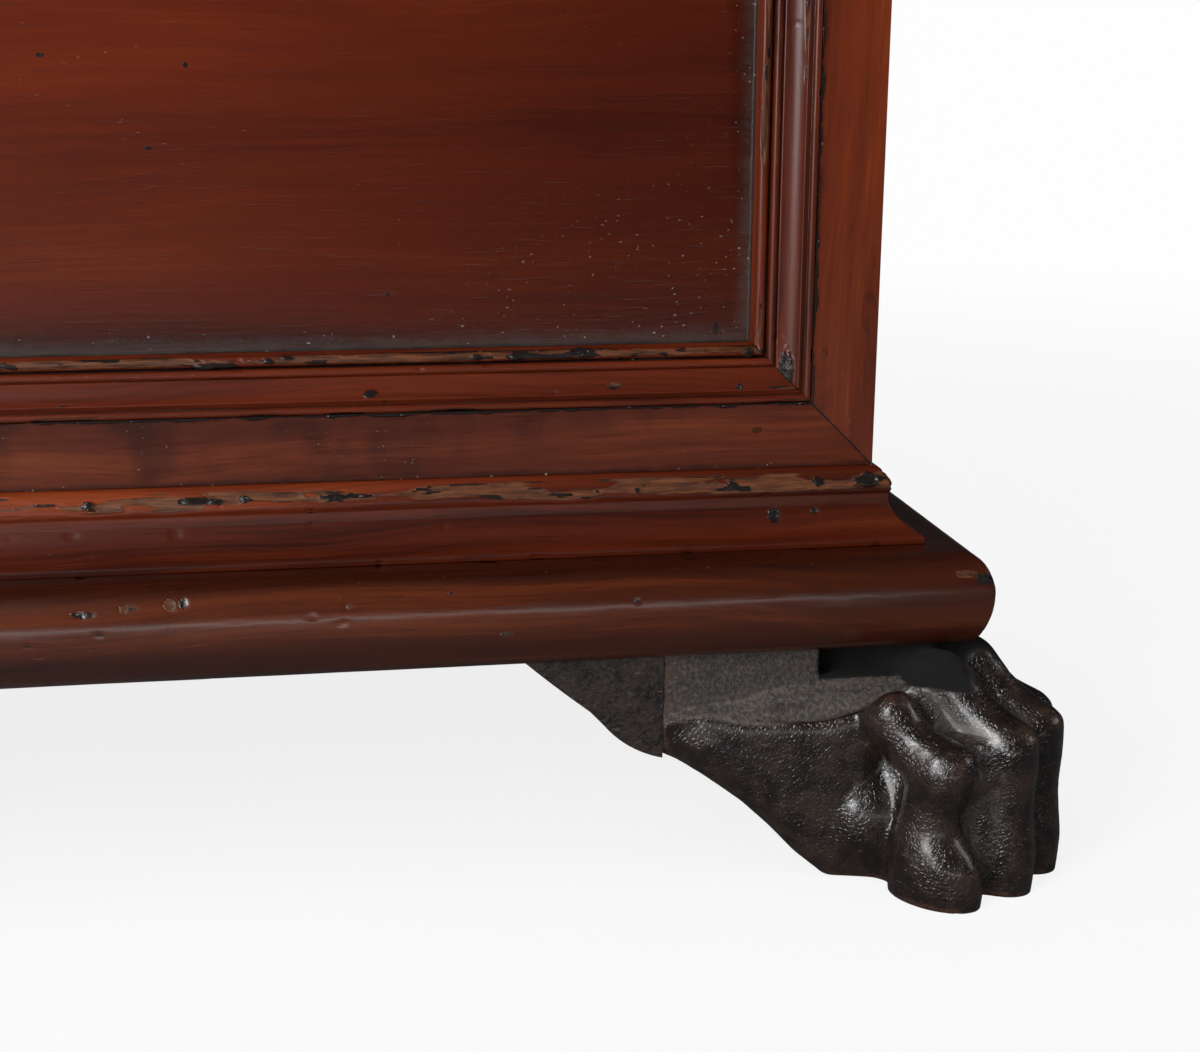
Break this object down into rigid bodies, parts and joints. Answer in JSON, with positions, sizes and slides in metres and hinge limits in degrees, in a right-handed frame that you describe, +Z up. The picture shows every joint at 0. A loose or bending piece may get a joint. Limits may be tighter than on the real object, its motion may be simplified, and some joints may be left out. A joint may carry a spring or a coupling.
{
  "type": "chest",
  "caption": "Long walnut chest with a hinged lid, framed front panel and moulded base on carved lion's-paw feet.",
  "frame": {"origin": "on the floor, in the middle of the whole footprint, paws and hinge barrels included", "axes": "+X to the chest's right end seen from the front, +Y from front to back, +Z up"},
  "size_m": [1.718, 0.6546, 0.6275],
  "materials": {
    "walnut": "waxed",
    "walnut_plain": "unfinished",
    "ebonised": "lacquered",
    "iron": "forged"
  },
  "bodies": {
    "chest": {"back_board": "walnut_plain", "band_bottom": "walnut", "band_left": "walnut", "band_right": "walnut", "band_top": "walnut", "base_moulding_front": "walnut", "base_moulding_left": "walnut", "base_moulding_right": "walnut", "base_rail_back": "walnut_plain", "base_rail_front": "walnut_plain", "base_rail_left": "walnut_plain", "base_rail_right": "walnut_plain", "bottom_board_1": "walnut_plain", "bottom_board_2": "walnut_plain", "bottom_board_3": "walnut_plain", "end_left": "walnut", "end_right": "walnut", "field_moulding_bottom": "walnut", "field_moulding_left": "walnut", "field_moulding_right": "walnut", "field_moulding_top": "walnut", "front_board": "walnut", "hinge_leaf_left": "iron", "hinge_leaf_right": "iron", "hinge_pin_left": "iron", "hinge_pin_right": "iron", "lock_case": "iron", "nails_back": "iron", "nails_lock": "iron", "paw_front_left": "ebonised", "paw_front_right": "ebonised", "paw_rear_left": "ebonised", "paw_rear_right": "ebonised", "torus_front": "walnut", "torus_left": "walnut", "torus_right": "walnut", "wing_front_left": "ebonised", "wing_front_right": "ebonised", "wing_rear_left": "ebonised", "wing_rear_right": "ebonised", "wing_side_left": "ebonised", "wing_side_right": "ebonised"},
    "lid": {"hinge_strap_left": "iron", "hinge_strap_right": "iron", "lid_board_front": "walnut", "lid_board_rear": "walnut", "lid_moulding_front": "walnut", "lid_moulding_left": "walnut", "lid_moulding_right": "walnut", "lid_staple": "iron", "nails_lid": "iron"},
    "bolt": {"lock_bolt": "iron"}
  },
  "joints": [
    {"name": "lid_hinge", "type": "hinge", "parent": "chest", "child": "lid", "pos_m": [0, 0.32074, 0.5965], "axis": [-1, 0, 0], "range_deg": [0, 100]},
    {"name": "lock_bolt_slide", "type": "slide", "parent": "chest", "child": "bolt", "axis": [1, 0, 0], "range_m": [0, 0.018]}
  ]
}
